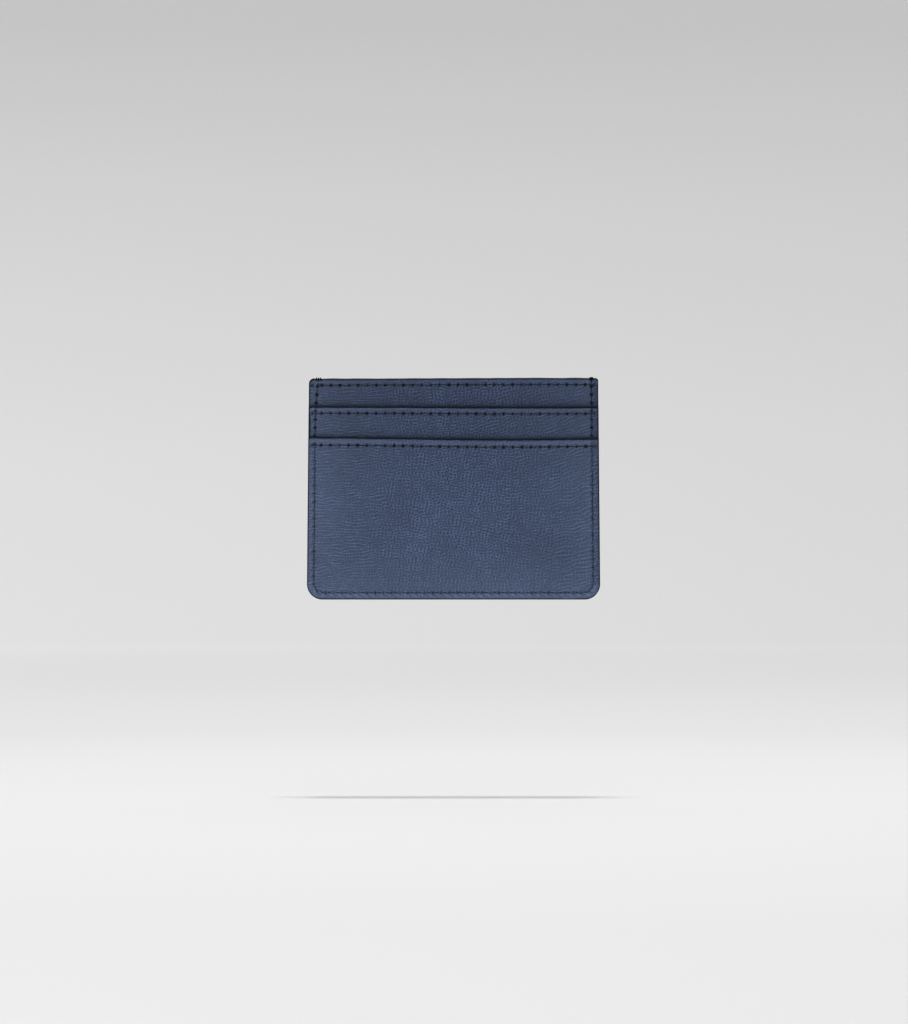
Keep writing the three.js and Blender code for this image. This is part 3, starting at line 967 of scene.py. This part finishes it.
def srgb(red, green, blue):
    """A colour given in the 0 to 255 steps of a screen, as the linear light that shaders use."""
    value = np.array([red, green, blue]) / 255
    linear = np.where(value <= 0.04045, value / 12.92, ((value + 0.055) / 1.055) ** 2.4)
    return (*linear.tolist(), 1.0)


class Nodes:
    """A short way to build a node tree, where an input takes a value or another node's socket."""

    def __init__(self, tree):
        self.tree = tree

    def feed(self, socket, value):
        if isinstance(value, bpy.types.NodeSocket):
            self.tree.links.new(value, socket)
        else:
            socket.default_value = value

    def feed_all(self, node, inputs):
        for key, value in inputs.items():
            self.feed(node.inputs[key], value)

    def add(self, kind, inputs=None, **settings):
        node = self.tree.nodes.new(kind)
        for key, value in settings.items():
            setattr(node, key, value)
        self.feed_all(node, inputs or {})
        return node

    def math(self, operation, *values):
        return self.add("ShaderNodeMath", dict(enumerate(values)), operation=operation).outputs[0]

    def mix(self, share, a, b):
        return self.add("ShaderNodeMix", {0: share, 6: a, 7: b}, data_type="RGBA").outputs[2]

    def scaled(self, tone, factor):
        node = self.add("ShaderNodeVectorMath", {0: tone, "Scale": factor}, operation="SCALE")
        return node.outputs[0]

    def mask(self, name):
        return self.add("ShaderNodeAttribute", attribute_name=name).outputs["Fac"]

    def place(self):
        return self.add("ShaderNodeTexCoord").outputs["Object"]

    def bump(self, strength, distance, height):
        inputs = {"Strength": strength, "Distance": distance, "Height": height}
        return self.add("ShaderNodeBump", inputs).outputs[0]


def new_material(name):
    """An empty material with a shader, ready to be fed through a builder of its nodes."""
    material = bpy.data.materials.new(name)
    material.use_nodes = True
    material.node_tree.nodes.clear()
    build = Nodes(material.node_tree)
    shader = build.add("ShaderNodeBsdfPrincipled")
    build.add("ShaderNodeOutputMaterial", {0: shader.outputs[0]})
    return material, build, shader


def mottle_group():
    """Uneven dye: slow patches and fine specks, as one value round 1, and a fine height."""
    tree = bpy.data.node_groups.new("Uneven dye", "ShaderNodeTree")
    face = tree.interface
    for key, value in (("Patch size", 12.0), ("Patches", 0.1), ("Speck size", 0.5), ("Specks", 0.1)):
        socket = face.new_socket(key, in_out="INPUT", socket_type="NodeSocketFloat")
        socket.default_value = value
    for key in ("Value", "Height"):
        face.new_socket(key, in_out="OUTPUT", socket_type="NodeSocketFloat")
    build = Nodes(tree)
    given = build.add("NodeGroupInput").outputs
    place = build.place()
    patch_scale = build.math("DIVIDE", 1 / MM, given["Patch size"])
    speck_scale = build.math("DIVIDE", 1 / MM, given["Speck size"])
    patch = build.add("ShaderNodeTexNoise", {"Vector": place, "Scale": patch_scale, "Detail": 3.0})
    speck = build.add("ShaderNodeTexNoise", {"Vector": place, "Scale": speck_scale, "Detail": 2.0})
    patches = build.math("MULTIPLY", build.math("SUBTRACT", patch.outputs[0], 0.5), given["Patches"])
    specks = build.math("MULTIPLY", build.math("SUBTRACT", speck.outputs[0], 0.5), given["Specks"])
    total = build.math("ADD", build.math("ADD", patches, specks), 1.0)
    build.add("NodeGroupOutput", {"Value": total, "Height": speck.outputs[0]})
    return tree


def dye_in(build, mottle, **values):
    """Places the uneven dye in a material, with its own sizes and strengths."""
    inputs = {key.replace("_", " "): value for key, value in values.items()}
    return build.add("ShaderNodeGroup", inputs, node_tree=mottle).outputs


def leather_material(mottle):
    """Embossed leather: darker in the creases, with painted shadow in the needle holes, painted shade
    towards the top and above the mouths, and painted highlights where it is raised and towards the
    sides and the bottom.
    """
    material, build, shader = new_material("Embossed leather")
    grain = build.mask("grain")
    dye = dye_in(build, mottle, Patch_size=14.0, Patches=0.35, Speck_size=0.5, Specks=0.85)
    tone = build.mix(grain, srgb(38, 46, 64), srgb(79, 94, 126))
    # Painted highlight where the lift mask says.
    tone = build.mix(build.math("MULTIPLY", build.mask("lift"), 0.55), tone, srgb(97, 111, 137))
    # Painted shade and shadow where the shade mask says.
    tone = build.mix(build.mask("shade"), tone, srgb(11, 17, 31))
    # Painted shadow in the needle holes.
    tone = build.mix(build.mask("hole"), tone, srgb(0, 2, 12))
    build.feed_all(shader, {
        "Base Color": build.scaled(tone, dye["Value"]),
        "Roughness": build.math("MULTIPLY_ADD", grain, -0.12, 0.62),
        "Specular IOR Level": 0.1,
        "Normal": build.bump(0.6, 0.12 * MM, dye["Height"]),
    })
    return material


def paint_material(mottle):
    """Edge paint: darker by its painted shade, most along the card pockets' mouths, as painted shadow
    from their gaps.
    """
    material, build, shader = new_material("Edge paint")
    dye = dye_in(build, mottle, Patch_size=5.0, Patches=0.3, Speck_size=0.4, Specks=0.25)
    tone = build.mix(build.mask("shade"), srgb(38, 45, 60), srgb(4, 9, 23))
    build.feed_all(shader, {
        "Base Color": build.scaled(tone, dye["Value"]),
        "Roughness": 0.5,
        "Specular IOR Level": 0.06,
        "Normal": build.bump(0.4, 0.1 * MM, dye["Height"]),
    })
    return material


def thread_material(mottle):
    """Twisted thread: darker where it is wound over the top edge, as painted shade among the crowded
    turns.
    """
    material, build, shader = new_material("Sewing thread")
    dye = dye_in(build, mottle, Patch_size=6.0, Patches=0.4, Speck_size=0.15, Specks=0.7)
    tone = build.mix(build.mask("shade"), srgb(33, 38, 50), srgb(8, 11, 20))
    build.feed_all(shader, {
        "Base Color": build.scaled(tone, dye["Value"]),
        "Roughness": 0.7,
        "Specular IOR Level": 0.05,
    })
    return material


WEAVE = 0.35 * MM  # from one thread of the lining to the next


def lining_material(mottle):
    """Woven lining: two crossing sets of fine threads, as the product of two sines."""
    material, build, shader = new_material("Woven lining")
    dye = dye_in(build, mottle, Patch_size=9.0, Patches=0.2, Speck_size=0.3, Specks=0.3)
    split = build.add("ShaderNodeSeparateXYZ", {0: build.place()}).outputs
    warp = build.math("SINE", build.math("MULTIPLY", split["X"], 2 * np.pi / WEAVE))
    weft = build.math("SINE", build.math("MULTIPLY", split["Z"], 2 * np.pi / WEAVE))
    weave = build.math("MULTIPLY_ADD", build.math("MULTIPLY", warp, weft), 0.5, 0.5)
    tone = build.mix(weave, srgb(24, 29, 44), srgb(48, 56, 78))
    build.feed_all(shader, {
        "Base Color": build.scaled(tone, dye["Value"]),
        "Roughness": 0.85,
        "Normal": build.bump(0.5, 0.05 * MM, weave),
    })
    return material


# ---- Studio, in metres ----

FLOOR_DROP = 0.0675  # the holder hangs this far above the floor
CAMERA_DISTANCE = 1.6
CAMERA_DROP = 0.0079  # the camera is this much lower than the holder's middle
CAMERA_ASIDE = 0.00015
FRAME_HEIGHT = 0.3494  # of the picture, at the holder
SENSOR = 36.0

FLOOR_START = 0.06  # radius of the floor's innermost ring
FLOOR_RADIUS = 1.9
SWEEP_RADIUS = 1.0
FLOOR_RINGS = 24
WALL_RINGS = 29
FLOOR_SIDES = 96
PAPER = (0.73, 0.73, 0.73, 1.0)
WALL_CLIMB = 4.0  # how much faster the paper's glow changes up the wall than along the floor
PAPER_LENGTH = 5.0
# How brightly the paper glows at shares of that length from the middle of the floor
PAPER_GLOW = ((0.1, 0.0), (0.17, 0.07), (0.36, 0.23), (0.6, 0.19), (0.84, 0.11), (1.0, 0.03))
GLOW_SPAN = 1.5  # the glow is stronger on the left and weaker on the right, over this far each way
GLOW_LEFT = 1.45
GLOW_RIGHT = 0.5


def make_camera():
    """A long lens straight in front of the holder, a little below its middle."""
    data = bpy.data.cameras.new("Camera")
    data.sensor_width = SENSOR
    data.lens = SENSOR * CAMERA_DISTANCE / FRAME_HEIGHT
    camera = bpy.data.objects.new("Camera", data)
    bpy.context.scene.collection.objects.link(camera)
    camera.location = (CAMERA_ASIDE, -CAMERA_DISTANCE, HEIGHT * MM / 2 - CAMERA_DROP)
    camera.rotation_euler = (np.pi / 2, 0.0, 0.0)
    bpy.context.scene.camera = camera


def make_sweep():
    """A round floor that curves up into a low wall on every side: a flat disc and a quarter round."""
    turn = np.linspace(0, np.pi / 2, WALL_RINGS + 1)[1:]
    floor = np.geomspace(FLOOR_START, FLOOR_RADIUS, FLOOR_RINGS)
    out = np.concatenate((floor, FLOOR_RADIUS + SWEEP_RADIUS * np.sin(turn)))
    up = np.concatenate((np.zeros(FLOOR_RINGS), SWEEP_RADIUS * (1 - np.cos(turn)))) - FLOOR_DROP
    angle = 2 * np.pi * np.arange(FLOOR_SIDES) / FLOOR_SIDES
    across, away = out[:, None] * np.cos(angle), out[:, None] * np.sin(angle)
    points = np.stack((across, away, up[:, None] + 0 * angle), -1).reshape(-1, 3)
    walls = ring_quads(len(out), FLOOR_SIDES)[:, ::-1]
    sweep = make_object("studio_sweep", points / MM, walls, np.arange(FLOOR_SIDES)[None])
    sweep.data.materials.append(paper_material())


def paper_material():
    """Pale paper that glows by its distance along the floor and up the wall, most on the left."""
    material, build, shader = new_material("Studio paper")
    split = build.add("ShaderNodeSeparateXYZ", {0: build.place()}).outputs
    flat = build.add("ShaderNodeCombineXYZ", {0: split["X"], 1: split["Y"]}).outputs[0]
    reach = build.add("ShaderNodeVectorMath", {0: flat}, operation="LENGTH").outputs["Value"]
    rise = build.math("ADD", split["Z"], FLOOR_DROP)
    along = build.math("MULTIPLY_ADD", rise, WALL_CLIMB, reach)
    ramp = build.add("ShaderNodeValToRGB", {0: build.math("DIVIDE", along, PAPER_LENGTH)})
    stops = ramp.color_ramp.elements
    for index, (position, value) in enumerate(PAPER_GLOW):
        stop = stops[index] if index < 2 else stops.new(position)
        stop.position = position
        stop.color = (value, value, value, 1.0)
    sides = {0: split["X"], 1: -GLOW_SPAN, 2: GLOW_SPAN, 3: GLOW_LEFT, 4: GLOW_RIGHT}
    aside = build.add("ShaderNodeMapRange", sides).outputs[0]
    build.feed_all(shader, {
        "Base Color": PAPER,
        "Roughness": 1.0,
        "Specular IOR Level": 0.0,
        "Emission Color": build.scaled(ramp.outputs[0], aside),
        "Emission Strength": 1.0,
    })
    return material


def area_light(name, place, aim, size, power):
    """A rectangular light that shines from a place towards its aim."""
    data = bpy.data.lights.new(name, "AREA")
    data.shape = "RECTANGLE"
    data.size, data.size_y = size
    data.energy = power
    light = bpy.data.objects.new(name, data)
    bpy.context.scene.collection.objects.link(light)
    light.location = place
    light.rotation_euler = (Vector(aim) - Vector(place)).to_track_quat("-Z", "Y").to_euler()


def make_lights():
    """A low key light from the front left, one straight overhead, and soft light all round."""
    area_light("Key", (-0.8, -1.35, 0.08), (0.0, 0.0, 0.04), (0.5, 0.3), 9.0)
    area_light("Overhead", (0.0, 0.0, 1.5), (0.0, 0.0, 0.0), (0.3, 0.18), 14.0)
    world = bpy.data.worlds.new("Studio")
    bpy.context.scene.world = world
    world.use_nodes = True
    sky = world.node_tree.nodes["Background"]
    sky.inputs["Color"].default_value = (1.0, 1.0, 1.0, 1.0)
    sky.inputs["Strength"].default_value = 0.6


# ---- Assembly ----

def build_holder():
    """Both faces of the holder, then what they share."""
    mottle = mottle_group()
    leather = leather_material(mottle)
    paint = paint_material(mottle)
    thread = thread_material(mottle)
    lining = lining_material(mottle)
    for face in FACES:
        for level in LEVELS:
            leather_panel(face, level, leather)
            lining_panel(face, level, lining)
            mouth_edge(face, level, paint)
            row_thread(face, level, thread)
        for behind, level in zip(LEVELS, LEVELS[1:]):
            pocket_margin(face, behind, level, leather)
        base_seam(face, thread)
        seam_thread(face, thread)
    half = MARGIN_GAP / 2
    centre = "centre_pocket_seam_margin"
    margin_strip("centre_pocket_margin_leather", LEVELS[0], -half, half, leather, centre)
    closing_edge(paint)


bpy.context.scene.view_settings.view_transform = "Standard"
make_camera()
make_sweep()
make_lights()
build_holder()
